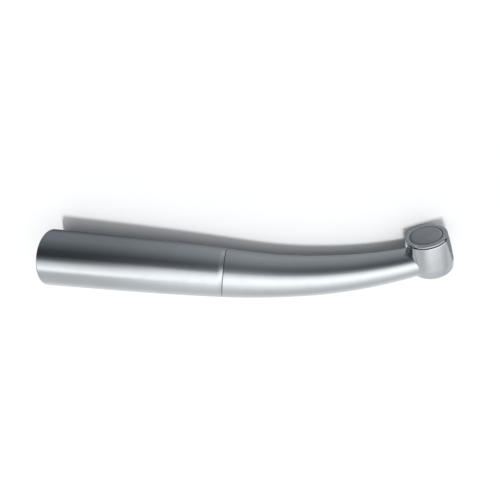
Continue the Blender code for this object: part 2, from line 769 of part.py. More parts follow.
def lie_on_floor():
    """Puts the lowest point at zero height, and the middle of the bounding box over the origin."""
    bpy.context.view_layer.update()
    corners = [
        piece.matrix_world @ vertex.co
        for piece in bpy.context.scene.objects
        if piece.type == "MESH" and not piece.hide_render
        for vertex in piece.data.vertices
    ]
    low = [min(corner[axis] for corner in corners) for axis in range(3)]
    high = [max(corner[axis] for corner in corners) for axis in range(3)]
    REST.location = (-(low[0] + high[0]) / 2, -(low[1] + high[1]) / 2, -low[2])


lie_on_floor()
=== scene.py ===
"""The looks of a push-button contra-angle handpiece lying on a pale table, built over its CAD frame.

Lengths are in metres. Each visible casing is a smooth outline turned about its own axis, or swept along the
neck's centreline, in frames taken from the record's joints. Parts hidden inside keep their CAD shape.
"""

import json
import math

import bmesh
import bpy
from mathutils import Matrix, Vector


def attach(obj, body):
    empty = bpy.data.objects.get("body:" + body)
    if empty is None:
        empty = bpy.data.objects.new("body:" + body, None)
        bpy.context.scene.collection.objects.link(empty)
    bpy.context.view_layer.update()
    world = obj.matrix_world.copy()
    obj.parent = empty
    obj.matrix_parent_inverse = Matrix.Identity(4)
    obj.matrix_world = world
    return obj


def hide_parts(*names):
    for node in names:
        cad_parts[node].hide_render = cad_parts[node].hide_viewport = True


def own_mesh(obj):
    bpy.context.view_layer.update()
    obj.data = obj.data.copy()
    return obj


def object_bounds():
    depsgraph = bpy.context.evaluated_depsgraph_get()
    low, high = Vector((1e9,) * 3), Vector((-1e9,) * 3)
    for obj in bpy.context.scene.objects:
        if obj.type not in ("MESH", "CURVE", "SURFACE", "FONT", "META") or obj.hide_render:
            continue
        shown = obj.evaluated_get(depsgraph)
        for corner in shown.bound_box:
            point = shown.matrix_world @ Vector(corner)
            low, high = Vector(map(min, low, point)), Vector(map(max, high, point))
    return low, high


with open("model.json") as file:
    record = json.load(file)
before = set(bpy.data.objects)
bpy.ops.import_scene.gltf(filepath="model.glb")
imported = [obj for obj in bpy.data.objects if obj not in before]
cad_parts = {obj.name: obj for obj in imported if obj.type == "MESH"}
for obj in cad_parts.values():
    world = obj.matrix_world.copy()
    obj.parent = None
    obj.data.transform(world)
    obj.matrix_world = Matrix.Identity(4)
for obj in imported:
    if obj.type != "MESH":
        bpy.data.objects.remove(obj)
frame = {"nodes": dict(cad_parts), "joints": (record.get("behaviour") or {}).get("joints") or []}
cad_low, cad_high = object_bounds()

MM = 0.001
SKIN = 0.03 * MM  # the smooth skins stay this far inside the CAD's corners
ROUND = 160  # segments round a large turned piece
SHARP_ANGLE = math.radians(32.0)  # edges sharper than this stay crisp

# === Frames, from the joints ============================================================================
joints = {joint["name"]: joint for joint in frame["joints"]}


def columns(x, y, z, origin):
    made = Matrix((x, y, z)).transposed().to_4x4()
    made.translation = origin
    return made


grip_way = Vector(joints["drive_spin"]["axis"]).normalized()
head_way = Vector(joints["spindle_spin"]["axis"]).normalized()
neck_way = Vector(joints["neck_shaft_spin"]["axis"]).normalized()
button_side = (head_way - head_way.dot(grip_way) * grip_way).normalized()
across = button_side.cross(grip_way)
BEND_ANGLE = button_side.angle(head_way)
# X along the grip from the middle of the rear opening, Z to the push-button's side
GRIP = columns(grip_way, across, button_side, Vector(joints["drive_spin"]["pos_m"]) - 50 * MM * grip_way)
# X along the neck's shaft from the kink in the drive train
NECK = columns(neck_way, across, neck_way.cross(across), Vector(joints["neck_shaft_spin"]["pos_m"]))
# X along the head's axis, towards the push-button, from where the neck's shaft meets it
HEAD = columns(head_way, across, head_way.cross(across), Vector(joints["spindle_spin"]["pos_m"]))
NECK_LENGTH = (HEAD.translation - NECK.translation).length

# === Sizes, as in the CAD, apart from the seam, which is drawn half as wide ==============================
SEAM = 45.3 * MM
SEAM_HALF = 0.09 * MM  # half the width of the groove
BEND_START = SEAM + 0.28 * MM  # the centreline is straight up to here
BEND_END = 96.2 * MM
BEND_POWER = 1.24
# the casing's radius at distances along the centreline
GRIP_STATIONS = [
    (0.0, 7.30 * MM),
    (14.0 * MM, 7.17 * MM),
    (30.0 * MM, 6.87 * MM),
    (SEAM, 6.31 * MM),
    (59.0 * MM, 5.51 * MM),
    (73.8 * MM, 4.76 * MM),
    (86.5 * MM, 3.98 * MM),
    (BEND_END, 3.36 * MM),
]
# the head's radius at heights along its axis
HEAD_STATIONS = [
    (-2.77 * MM, 4.85 * MM),
    (-1.2 * MM, 4.97 * MM),
    (1.5 * MM, 4.92 * MM),
    (3.6 * MM, 4.81 * MM),
    (5.13 * MM, 4.69 * MM),
]
NOSE = 1.5 * MM  # rounding of the head's lower edge
HEAD_BOTTOM = -4.27 * MM
HEAD_TOP = 5.25 * MM
HEAD_BORE_R = 4.15 * MM
CAP_R = 4.66 * MM
CAP_FLANGE = 5.48 * MM
CAP_TOP = 5.93 * MM
CAP_WEB = 4.3 * MM
BUTTON_R = 3.5 * MM
NECK_SPIGOT_R = 5.45 * MM


def smooth_value(stations, at):
    """A smooth curve (monotone Hermite) through (position, value) stations, read at one position."""
    slopes = [(b[1] - a[1]) / (b[0] - a[0]) for a, b in zip(stations, stations[1:])]
    tangents = [slopes[0]]
    for before, after in zip(slopes, slopes[1:]):
        tangents.append(2 * before * after / (before + after) if before * after > 0 else 0.0)
    tangents.append(slopes[-1])
    at = min(max(at, stations[0][0]), stations[-1][0])
    index = max(i for i in range(len(stations) - 1) if stations[i][0] <= at)
    (start, low), (end, high) = stations[index], stations[index + 1]
    span = end - start
    t = (at - start) / span
    return (
        (2 * t**3 - 3 * t**2 + 1) * low
        + (t**3 - 2 * t**2 + t) * span * tangents[index]
        + (3 * t**2 - 2 * t**3) * high
        + (t**3 - t**2) * span * tangents[index + 1]
    )


def bend_at(at):
    """The neck centreline's angle to the grip's axis."""
    return BEND_ANGLE * (max(0.0, at - BEND_START) / (BEND_END - BEND_START)) ** BEND_POWER


CENTRELINE_STEP, CENTRELINE_COUNT = 0.2 * MM, 280
centreline_points = [Vector((BEND_START, 0.0, 0.0))]
for step_index in range(CENTRELINE_COUNT):
    angle = bend_at(BEND_START + (step_index + 0.5) * CENTRELINE_STEP)
    centreline_points.append(
        centreline_points[-1] + CENTRELINE_STEP * Vector((math.cos(angle), 0.0, math.sin(angle)))
    )


def centreline(at):
    """The point of the centreline at a distance along it, in the grip's frame."""
    if at <= BEND_START:
        return Vector((at, 0.0, 0.0))
    place = (at - BEND_START) / CENTRELINE_STEP
    index = min(int(place), len(centreline_points) - 2)
    return centreline_points[index].lerp(centreline_points[index + 1], place - index)


# === Mesh helpers =======================================================================================
def rounded(points, steps=6):
    """Rounds each (x, radius, rounding) corner of a closed outline with a small arc."""
    made = []
    for k, (x, r, size) in enumerate(points):
        if not size:
            made.append((x, r))
            continue
        here = Vector((x, r))
        back = (Vector(points[k - 1][:2]) - here).normalized()
        ahead = (Vector(points[(k + 1) % len(points)][:2]) - here).normalized()
        half = back.angle(ahead) / 2
        centre = here + (back + ahead).normalized() * size / math.sin(half)
        start = here + back * size / math.tan(half) - centre
        end = here + ahead * size / math.tan(half) - centre
        turn = start.angle(end)
        for i in range(steps + 1):
            t = i / steps
            spoke = (math.sin((1 - t) * turn) * start + math.sin(t * turn) * end) / math.sin(turn)
            made.append(tuple(centre + spoke))
    return made


def finish_mesh(name, bm):
    """Turns a bmesh into a smooth-shaded object of the scene."""
    bmesh.ops.recalc_face_normals(bm, faces=bm.faces)
    mesh = bpy.data.meshes.new(name)
    bm.to_mesh(mesh)
    bm.free()
    mesh.shade_smooth()
    mesh.set_sharp_from_angle(angle=SHARP_ANGLE)
    made = bpy.data.objects.new(name, mesh)
    bpy.context.scene.collection.objects.link(made)
    return made


def skin(bm, rings):
    """Faces between each ring of vertices and the next, and from the last to the first."""
    count = max(len(ring) for ring in rings)
    for one, two in zip(rings, rings[1:] + rings[:1]):
        for k in range(count):
            n = (k + 1) % count
            here, ahead = (one[k % len(one)], one[n % len(one)]), (two[n % len(two)], two[k % len(two)])
            corners = dict.fromkeys(here + ahead)
            if len(corners) > 2:
                bm.faces.new(list(corners))


def turned(name, outline, place, segments=ROUND, turns=None, limit=None):
    """A closed (x, radius) outline spun about the X axis of a frame.

    turns lists the angles to use instead of even ones; limit(x, angle) is the greatest radius allowed there.
    """
    bm = bmesh.new()
    rings = []
    for x, r in outline:
        angles = (turns or [2 * math.pi * k / segments for k in range(segments)]) if r > 1e-7 else [0.0]
        ring = []
        for a in angles:
            kept = min(r, limit(x, a)) if limit else r
            ring.append(bm.verts.new(place @ Vector((x, kept * math.sin(a), kept * math.cos(a)))))
        rings.append(ring)
    skin(bm, rings)
    return finish_mesh(name, bm)


def block(name, place, size):
    """A block centred on a frame, to cut with."""
    bm = bmesh.new()
    bmesh.ops.create_cube(bm, size=1.0)
    bmesh.ops.scale(bm, verts=bm.verts, vec=size)
    bm.transform(place)
    return finish_mesh(name, bm)


def cut(target, *cutters):
    """Takes the cutters' shapes out of the target for good, and removes them.

    The solver works in millimetres.
    """
    for shape in (target, *cutters):
        shape.data.transform(Matrix.Scale(1 / MM, 4))
    for cutter in cutters:
        boolean = target.modifiers.new(cutter.name, "BOOLEAN")
        boolean.operation = "DIFFERENCE"
        boolean.solver = "EXACT"
        boolean.object = cutter
    bpy.context.view_layer.update()
    solid = target.evaluated_get(bpy.context.evaluated_depsgraph_get())
    mesh = bpy.data.meshes.new_from_object(solid)
    target.modifiers.clear()
    target.data = mesh
    for cutter in cutters:
        bpy.data.objects.remove(cutter)
    bm = bmesh.new()
    bm.from_mesh(mesh)
    bmesh.ops.remove_doubles(bm, verts=bm.verts, dist=0.0002)
    bmesh.ops.dissolve_degenerate(bm, dist=0.0002, edges=bm.edges)
    bm.transform(Matrix.Scale(MM, 4))
    bm.to_mesh(mesh)
    bm.free()
    mesh.shade_smooth()
    mesh.set_sharp_from_angle(angle=SHARP_ANGLE)
    return target


def piece(made, body, slot, surface, *nodes):
    """Dresses a new piece and lets it stand for CAD nodes of the same body."""
    made.data.materials.clear()
    made.data.materials.append(surface)
    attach(made, body)
    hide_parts(*nodes)
    return made


# === Materials ==========================================================================================
def add(tree, kind, inputs=(), **settings):
    """Adds a shader node. inputs maps a socket's name or number to a value or to another node's output."""
    made = tree.nodes.new(kind)
    for key, value in settings.items():
        setattr(made, key, value)
    for key, value in dict(inputs).items():
        if isinstance(value, bpy.types.NodeSocket):
            tree.links.new(value, made.inputs[key])
        else:
            made.inputs[key].default_value = value
    return made


def maths(tree, operation, *values):
    return add(tree, "ShaderNodeMath", dict(enumerate(values)), operation=operation).outputs[0]


def spread(tree, value, low, high, to_low, to_high):
    """A value's range mapped to another, smoothly and without overshoot."""
    inputs = {"Value": value, "From Min": low, "From Max": high, "To Min": to_low, "To Max": to_high}
    return add(tree, "ShaderNodeMapRange", inputs, interpolation_type="SMOOTHSTEP").outputs[0]


def noise(tree, vector, scale, detail=3.0, roughness=0.55, distortion=0.0):
    inputs = {"Vector": vector, "Scale": scale, "Detail": detail, "Roughness": roughness}
    return add(tree, "ShaderNodeTexNoise", {**inputs, "Distortion": distortion}).outputs["Fac"]


def tinted(tree, factor, one, two):
    """A colour between two others."""
    made = add(tree, "ShaderNodeMix", data_type="RGBA")
    tree.links.new(factor, made.inputs[0])
    made.inputs[6].default_value = (*one, 1.0)
    made.inputs[7].default_value = (*two, 1.0)
    return made.outputs[2]


def new_material(name):
    made = bpy.data.materials.new(name)
    made.use_nodes = True
    return made, made.node_tree, made.node_tree.nodes["Principled BSDF"]


def local_coordinates(tree, place):
    """The object's own coordinates, measured in one of the frames above."""
    source = add(tree, "ShaderNodeTexCoord").outputs["Object"]
    inputs = {"Vector": source, "Location": place.translation, "Rotation": place.to_euler("XYZ")}
    return add(tree, "ShaderNodeMapping", inputs, vector_type="TEXTURE").outputs[0]


def metal(name, place, colour, dull, roughness, rough_spread, turning, handling):
    """Turned metal: fine marks round the axis, soft unevenness, faint handling marks.

    colour and dull are the reflectance where the surface is clean and where it is smeared; turning is the
    depth of the tool or brush marks in metres; handling is how much the smears show.
    """
    made, tree, shader = new_material(name)
    local = local_coordinates(tree, place)
    parts = add(tree, "ShaderNodeSeparateXYZ", {0: local})
    x, y, z = parts.outputs[0], parts.outputs[1], parts.outputs[2]
    turn = maths(tree, "ARCTAN2", y, z)
    squares = [maths(tree, "MULTIPLY", part, part) for part in (y, z)]
    radius = maths(tree, "SQRT", maths(tree, "ADD", *squares))
    # fine marks run round the axis: they change quickly along and outwards, and slowly round it
    around = add(
        tree,
        "ShaderNodeCombineXYZ",
        {0: maths(tree, "MULTIPLY", x, 9000.0), 1: maths(tree, "MULTIPLY", radius, 9000.0),
         2: maths(tree, "MULTIPLY", turn, 2.4)},
    ).outputs[0]
    marks = noise(tree, around, 1.0, detail=4.0, roughness=0.7)
    grain = noise(tree, local, 26000.0, detail=2.0)
    smear = noise(tree, local, 260.0, detail=4.0, roughness=0.6, distortion=0.6)
    soft = noise(tree, local, 90.0, detail=2.0)
    handled = spread(tree, smear, 0.46, 0.74, 0.0, 1.0)
    shade = maths(tree, "MULTIPLY_ADD", handled, handling, maths(tree, "MULTIPLY", marks, 0.12))
    tree.links.new(tinted(tree, shade, colour, dull), shader.inputs["Base Color"])
    patches = maths(tree, "MULTIPLY", soft, 0.45 * rough_spread)
    uneven = maths(tree, "MULTIPLY_ADD", marks, 0.55 * rough_spread, patches)
    level = maths(tree, "ADD", uneven, roughness - 0.5 * rough_spread)
    level = maths(tree, "MULTIPLY_ADD", handled, 0.35 * rough_spread, level)
    tree.links.new(level, shader.inputs["Roughness"])
    shader.inputs["Metallic"].default_value = 1.0
    relief = maths(tree, "MULTIPLY_ADD", grain, 0.35, marks)
    bump = add(tree, "ShaderNodeBump", {"Height": relief, "Distance": turning, "Strength": 1.0})
    tree.links.new(bump.outputs[0], shader.inputs["Normal"])
    return made


def plain(name, place, colour, worn, roughness, size, depth):
    """Rubber or plastic: mottled colour, uneven gloss and a moulded grain."""
    made, tree, shader = new_material(name)
    local = local_coordinates(tree, place)
    mottle = noise(tree, local, 1200.0, detail=4.0)
    grain = noise(tree, local, size, detail=3.0)
    patches = spread(tree, mottle, 0.3, 0.75, 0.0, 1.0)
    tree.links.new(tinted(tree, patches, colour, worn), shader.inputs["Base Color"])
    level = spread(tree, grain, 0.2, 0.8, roughness - 0.08, roughness + 0.1)
    tree.links.new(level, shader.inputs["Roughness"])
    bump = add(tree, "ShaderNodeBump", {"Height": grain, "Distance": depth, "Strength": 1.0})
    tree.links.new(bump.outputs[0], shader.inputs["Normal"])
    return made


SATIN, SATIN_DULL = (0.60, 0.622, 0.635), (0.53, 0.55, 0.56)
BRIGHT, BRIGHT_DULL = (0.72, 0.735, 0.75), (0.60, 0.61, 0.62)
DARK, DARK_DULL = (0.27, 0.28, 0.30), (0.18, 0.185, 0.20)


def satin(place_name, place):
    return metal(f"satin_steel_{place_name}", place, SATIN, SATIN_DULL, 0.17, 0.05, 0.45e-6, 0.30)


satin_grip, satin_head = satin("grip", GRIP), satin("head", HEAD)
button_steel = metal("button_steel", HEAD, (0.50, 0.515, 0.53), (0.42, 0.43, 0.44), 0.24, 0.06, 0.6e-6, 0.35)
bright = {
    "grip": metal("bright_steel_grip", GRIP, BRIGHT, BRIGHT_DULL, 0.13, 0.06, 0.4e-6, 0.35),
    "neck": metal("bright_steel_neck", NECK, BRIGHT, BRIGHT_DULL, 0.13, 0.06, 0.4e-6, 0.35),
    "head": metal("bright_steel_head", HEAD, BRIGHT, BRIGHT_DULL, 0.13, 0.06, 0.4e-6, 0.35),
}
dark = {
    "grip": metal("dark_steel_grip", GRIP, DARK, DARK_DULL, 0.30, 0.08, 0.7e-6, 0.5),
    "head": metal("dark_steel_head", HEAD, DARK, DARK_DULL, 0.30, 0.08, 0.7e-6, 0.5),
}
brass = metal("brass_turned", GRIP, (0.76, 0.58, 0.31), (0.55, 0.39, 0.19), 0.27, 0.10, 0.8e-6, 0.6)
bronze = metal("bronze_sintered", NECK, (0.60, 0.41, 0.24), (0.42, 0.27, 0.15), 0.36, 0.12, 0.9e-6, 0.6)
rubber = plain("black_rubber_seal", GRIP, (0.022, 0.022, 0.024), (0.045, 0.045, 0.047), 0.62, 9000.0, 1.2e-6)
cage = plain("bearing_cage_resin", GRIP, (0.43, 0.26, 0.13), (0.52, 0.33, 0.18), 0.52, 7000.0, 0.8e-6)

# CAD nodes that stay: each keeps its shape and takes its slot's finish in the frame that it turns in
FINISH = {"brass": lambda where: brass, "bronze": lambda where: bronze, "black_rubber": lambda where: rubber,
          "bearing_cage": lambda where: cage, "satin_steel": lambda where: satin_head,
          "bright_steel": lambda where: bright[where],
          "dark_steel": lambda where: dark.get(where, dark["grip"])}
NECK_NODES = ("neck_shaft", "neck_shaft_gear", "head_pinion", "neck_bush", "neck_bearing")
HEAD_NODES = ("head_lower", "head_upper", "spindle", "chuck", "button", "back_cap")
for node_name, cad_node in frame["nodes"].items():
    where = "head" if node_name.startswith(HEAD_NODES) else "grip"
    if node_name.startswith(NECK_NODES):
        where = "neck"
    for index, held in enumerate(cad_node.data.materials):
        slot_name = next(name for name in FINISH if held.name.startswith(name))
        cad_node.data.materials[index] = FINISH[slot_name](where)


# === Casings ============================================================================================
def build_sleeve():
    """The straight rear half of the grip, with a rounded lip at the rear and a crisp edge at the seam."""
    lip, inner = 0.5 * MM, 6.15 * MM
    rear_r = GRIP_STATIONS[0][1] - SKIN
    outer = [
        (lip * (1 - math.cos(a)), rear_r - lip * (1 - math.sin(a)))
        for a in (math.pi / 2 * k / 9 for k in range(9))
    ]
    front = SEAM - SEAM_HALF
    stations = 36
    for k in range(stations):
        at = lip + (front - 0.05 * MM - lip) * k / (stations - 1)
        outer.append((at, smooth_value(GRIP_STATIONS, at) - SKIN))
    outer += [(front - 0.02 * MM, outer[-1][1] - 0.02 * MM), (front, outer[-1][1] - 0.06 * MM)]
    bore = [
        (front, NECK_SPIGOT_R + 0.05 * MM),
        (37.7 * MM, NECK_SPIGOT_R + 0.05 * MM),
        (37.7 * MM, 5.73 * MM),
        (26.9 * MM, 5.73 * MM),
        (26.9 * MM, inner),
        (0.12 * MM, inner),
        (0.0, inner + 0.12 * MM),
    ]
    piece(turned("sleeve_skin", outer + bore, GRIP), "grip", "satin_steel", satin_grip, "rear_sleeve")


def build_chassis():
    """The core of the grip as it shows in the rear opening: socket, latch groove and bearing seat."""
    outline = rounded([
        (0.6 * MM, 6.10 * MM, 0.12 * MM),
        (26.8 * MM, 6.10 * MM, 0.1 * MM),
        (26.8 * MM, 5.68 * MM, 0.0),
        (37.3 * MM, 5.68 * MM, 0.1 * MM),
        (37.3 * MM, 4.55 * MM, 0.0),
        (30.05 * MM, 4.55 * MM, 0.0),
        (30.05 * MM, 4.05 * MM, 0.1 * MM),
        (24.0 * MM, 4.05 * MM, 0.0),
        (24.0 * MM, 3.20 * MM, 0.0),
        (22.5 * MM, 3.20 * MM, 0.1 * MM),
        (22.5 * MM, 4.80 * MM, 0.0),
        (9.3 * MM, 4.80 * MM, 0.08 * MM),
        (9.3 * MM, 5.35 * MM, 0.08 * MM),
        (8.0 * MM, 5.35 * MM, 0.08 * MM),
        (8.0 * MM, 4.80 * MM, 0.08 * MM),
        (1.1 * MM, 4.80 * MM, 0.15 * MM),
        (0.6 * MM, 5.30 * MM, 0.12 * MM),
    ])
    piece(turned("chassis_skin", outline, GRIP), "grip", "brass", brass, "coupling_chassis")


def build_joint_ring():
    """The dark ring that shows as a hairline in the seam."""
    inner, outer = NECK_SPIGOT_R + 0.05 * MM, 6.18 * MM
    rear, front = SEAM - SEAM_HALF + 0.01 * MM, SEAM + SEAM_HALF - 0.01 * MM
    edge = 0.02 * MM
    outline = rounded([(rear, inner, 0), (rear, outer, edge), (front, outer, edge), (front, inner, 0)], 3)
    piece(turned("joint_ring_skin", outline, GRIP), "grip", "dark_steel", dark["grip"], "joint_ring")


def head_outer():
    """The head's outer outline from its lower face to its upper rim, as (height, radius) points."""
    start_r = HEAD_STATIONS[0][1]
    nose = [
        (HEAD_BOTTOM + NOSE * (1 - math.cos(a)), start_r - NOSE * (1 - math.sin(a)))
        for a in (math.pi / 2 * k / 14 for k in range(14))
    ]
    side_points = 30
    side = []
    for k in range(side_points):
        at = HEAD_STATIONS[0][0] + (HEAD_STATIONS[-1][0] - HEAD_STATIONS[0][0]) * k / (side_points - 1)
        side.append((at, smooth_value(HEAD_STATIONS, at)))
    rim = [(HEAD_TOP - 0.07 * MM, 4.67 * MM), (HEAD_TOP - 0.02 * MM, 4.63 * MM), (HEAD_TOP, 4.57 * MM)]
    return [(x, r - SKIN) for x, r in nose + side + rim]


HEAD_OUTLINE = head_outer()


def head_radius(height):
    """The head's outer radius at a height along its axis."""
    for (x0, r0), (x1, r1) in zip(HEAD_OUTLINE, HEAD_OUTLINE[1:]):
        if x0 <= height <= x1:
            return r0 + (r1 - r0) * (height - x0) / (x1 - x0)
    return 0.0


def build_neck():
    """The curved front half of the grip. Its front edge follows the head's wall with a small crease."""
    to_head = HEAD.inverted() @ GRIP
    sides, body_rings, warp_from, crease = ROUND, 120, 76 * MM, 0.16 * MM

    def at_point(at, turn, radius):
        bend = bend_at(at)
        side_way = Vector((-math.sin(bend), 0.0, math.cos(bend)))
        spoke = math.cos(turn) * side_way + math.sin(turn) * Vector((0.0, 1.0, 0.0))
        return centreline(at) + radius * spoke

    def reach(turn):
        """How far along the centreline the surface meets the head."""
        near, far = 84 * MM, 99 * MM
        for _ in range(40):
            middle = (near + far) / 2
            point = to_head @ at_point(middle, turn, smooth_value(GRIP_STATIONS, middle))
            outside = math.hypot(point.y, point.z) > head_radius(point.x) + 0.004 * MM and point.z > 0
            near, far = (middle, far) if outside else (near, middle)
        return near

    turns = [2 * math.pi * k / sides for k in range(sides)]
    ends = [reach(turn) for turn in turns]
    bm = bmesh.new()
    rings = []

    def ring(places):
        rings.append([bm.verts.new(GRIP @ at_point(at, turn, r)) for at, turn, r in places])

    def bore_ring(place, x, r):
        """A ring of the bore, straight about a frame's X axis."""
        spots = [Vector((x, r * math.sin(turn), r * math.cos(turn))) for turn in turns]
        rings.append([bm.verts.new(place @ spot) for spot in spots])

    for at, r in (
        (38.2, 4.12), (38.2, 5.35), (38.3, 5.45), (40.1, 5.45), (40.1, 4.88), (40.7, 4.88), (40.7, 5.45),
        (45.48, 5.45),
    ):
        ring([(at * MM, turn, r * MM) for turn in turns])
    rear = SEAM + SEAM_HALF
    outer_r = smooth_value(GRIP_STATIONS, rear) - SKIN
    for step, drop in ((0.0, 0.06), (0.02, 0.02)):
        ring([(rear + step * MM, turn, outer_r - drop * MM) for turn in turns])
    first = rear + 0.05 * MM
    for k in range(body_rings + 1):
        at = first + (BEND_END - first) * k / body_rings
        places = []
        for turn, end in zip(turns, ends):
            here = at
            if at > warp_from:
                here = warp_from + (end - crease - warp_from) * (at - warp_from) / (BEND_END - warp_from)
            places.append((here, turn, smooth_value(GRIP_STATIONS, here) - SKIN))
        ring(places)
    for k in range(1, 6):
        a = math.pi / 2 * k / 5
        ring([
            (end - crease * (1 - math.sin(a)), turn,
             smooth_value(GRIP_STATIONS, end) - SKIN - crease * (1 - math.cos(a)))
            for turn, end in zip(turns, ends)
        ])
    # the bore opens into the head: its front edge follows the head's wall too
    to_neck = NECK.inverted() @ HEAD
    bore_r = 2.15 * MM
    front_edge = []
    for turn in turns:
        near, far = NECK_LENGTH - 8 * MM, NECK_LENGTH
        for _ in range(40):
            middle = (near + far) / 2
            spot = to_neck.inverted() @ Vector((middle, bore_r * math.sin(turn), bore_r * math.cos(turn)))
            outside = math.hypot(spot.y, spot.z) > head_radius(spot.x) + 0.004 * MM
            near, far = (middle, far) if outside else (near, middle)
        front_edge.append(NECK @ Vector((near, bore_r * math.sin(turn), bore_r * math.cos(turn))))
    rings.append([bm.verts.new(spot) for spot in front_edge])
    for x, r in ((6.4, 2.15), (6.4, 3.0), (2.4, 3.0)):
        bore_ring(NECK, x * MM, r * MM)
    for x, r in ((61.6, 3.4), (53.6, 3.4), (53.6, 4.05), (38.27, 4.05)):
        bore_ring(GRIP, x * MM, r * MM)
    skin(bm, rings)
    piece(finish_mesh("neck_skin", bm), "grip", "satin_steel", satin_grip, "neck_shell")


def build_head():
    """The barrel-shaped casing, open at the top for the cap and at the bottom for the spindle."""
    floor = -3.5 * MM
    inside = [
        (HEAD_TOP, 4.22 * MM), (HEAD_TOP - 0.07 * MM, HEAD_BORE_R), (floor, HEAD_BORE_R), (floor, 2.5 * MM),
        (HEAD_BOTTOM + 0.1 * MM, 2.5 * MM), (HEAD_BOTTOM, 2.6 * MM),
    ]
    casing = turned("head_skin", HEAD_OUTLINE + inside, HEAD)
    window = turned("window", [
        (NECK_LENGTH - 7 * MM, 0), (NECK_LENGTH - 7 * MM, 2.15 * MM),
        (NECK_LENGTH - 2.6 * MM, 2.15 * MM), (NECK_LENGTH - 2.6 * MM, 0),
    ], NECK, 48)
    piece(cut(casing, window), "grip", "satin_steel", satin_head, "head_casing")


def build_cap_and_button():
    """The notched ring screwed into the head's top, and the slightly domed button in it."""
    top, outer, inner, edge = CAP_TOP - 0.015 * MM, CAP_R - SKIN, BUTTON_R + 0.1 * MM, 0.07 * MM
    # four spanner notches in the flange: each has a flat floor, steep walls and small rounded edges, given as
    # (degrees from the notch's middle, millimetres from the head's axis)
    notch_floor, notch_edge, between = 4.26, 6.7, 34
    wall = [
        (5.3, 4.27), (5.6, 4.29), (5.78, 4.36), (5.9, 4.50), (6.05, 4.59), (6.3, 4.625), (notch_edge, 4.70),
    ]
    middle = [(a, notch_floor) for a in (-3.6, -1.8, 0.0, 1.8, 3.6)]
    profile = [(-a, r) for a, r in reversed(wall)] + middle + wall
    turns = []
    for k in range(4):
        turns += [math.radians(45 + 90 * k + a) for a, _ in profile]
        plain_arc = 90 - 2 * notch_edge
        turns += [math.radians(45 + 90 * k + notch_edge + plain_arc * i / between) for i in range(1, between)]

    def limit(x, turn):
        """The flange's greatest radius at an angle round the cap."""
        away = (math.degrees(turn) % 90) - 45
        if x < CAP_FLANGE - 0.001 * MM or abs(away) > notch_edge - 0.01:
            return CAP_R
        return min(profile, key=lambda spot: abs(spot[0] - away))[1] * MM / math.cos(math.radians(away))

    cap = turned("cap_skin", rounded([
        (CAP_WEB, 1.7 * MM, 0.05 * MM),
        (CAP_WEB, 4.10 * MM, 0.05 * MM),
        (CAP_FLANGE, 4.10 * MM, 0.0),
        (CAP_FLANGE, outer, 0.12 * MM),
        (top, outer, 0.12 * MM),
        (top, inner, edge),
        (CAP_WEB + 0.3 * MM, inner, 0.0),
        (CAP_WEB + 0.3 * MM, 1.7 * MM, 0.05 * MM),
    ]), HEAD, turns=turns, limit=limit)
    piece(cap, "grip", "satin_steel", satin_head, "back_cap")
    underside, stem = CAP_TOP - 0.5 * MM, 4.65 * MM
    rim = BUTTON_R - SKIN
    outline = rounded([
        (stem, 1.4 * MM, 0.05 * MM), (underside, 1.4 * MM, 0.0), (underside, rim, 0.05 * MM),
        (CAP_TOP - 0.02 * MM, rim, 0.1 * MM), (CAP_TOP + 0.03 * MM, 0.93 * rim, 0.0), (CAP_TOP, 0.0, 0.0),
        (stem, 0.0, 0.0),
    ])[:-3]
    dome = [
        (CAP_TOP + 0.03 * MM + 0.12 * MM * math.cos(a), 0.93 * rim * math.sin(a))
        for a in (math.pi / 2 * (1 - k / 12) for k in range(13))
    ]
    button = turned("button_skin", outline + dome + [(stem, 0.0)], HEAD)
    piece(button, "button", "dark_steel", button_steel, "push_button")


def build_spring():
    """The wave spring between the cap's web and the button. The real one flattens as the button comes down;
    here it keeps its rest shape, on a mesh of its own.
    """
    low, high, thick, edge = CAP_WEB + 0.35 * MM, CAP_TOP - 0.55 * MM, 0.12 * MM, 0.02 * MM
    inner, outer, around, waves, travel = 2.2 * MM, 2.9 * MM, 144, 3, 0.35 * MM
    middle, swing = (low + high) / 2, (high - low - thick) / 2
    section = rounded([
        (-thick / 2, inner, edge), (thick / 2, inner, edge),
        (thick / 2, outer, edge), (-thick / 2, outer, edge),
    ], 2)
    bm = bmesh.new()
    rings = []
    for x, r in section:
        ring = []
        for a in (2 * math.pi * k / around for k in range(around)):
            height = middle + swing * math.cos(waves * a) + x
            ring.append(bm.verts.new(HEAD @ Vector((height, r * math.sin(a), r * math.cos(a)))))
        rings.append(ring)
    skin(bm, rings)
    made = piece(finish_mesh("spring_skin", bm), "grip", "bright_steel", bright["head"], "button_spring")
    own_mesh(made)


def build_spindle():
    """The hollow spindle in the head's lower opening and the slit collet in it."""
    low, top = -4.6 * MM, 4.2 * MM
    spindle = turned("spindle_skin", rounded([
        (low, 1.30 * MM, 0.06 * MM), (low, 2.0 * MM, 0.15 * MM),
        (top, 2.0 * MM, 0.05 * MM), (top, 1.6 * MM, 0.05 * MM),
        (low + 1.0 * MM, 1.6 * MM, 0.0), (low + 1.0 * MM, 1.30 * MM, 0.0),
    ]), HEAD, 96)
    piece(spindle, "spindle_train", "bright_steel", bright["head"], "spindle")
    collet = turned("collet_skin", rounded([
        (low + 1.1 * MM, 1.2 * MM, 0.04 * MM), (low + 1.1 * MM, 1.55 * MM, 0.04 * MM),
        (top, 1.55 * MM, 0.04 * MM), (top, 1.2 * MM, 0.04 * MM),
    ], 3), HEAD, 96)
    slit = block("slit", HEAD @ Matrix.Translation((low + 1.1 * MM, 0, 0)), (10 * MM, 5 * MM, 0.3 * MM))
    piece(cut(collet, slit), "spindle_train", "dark_steel", dark["head"], "chuck_collet")


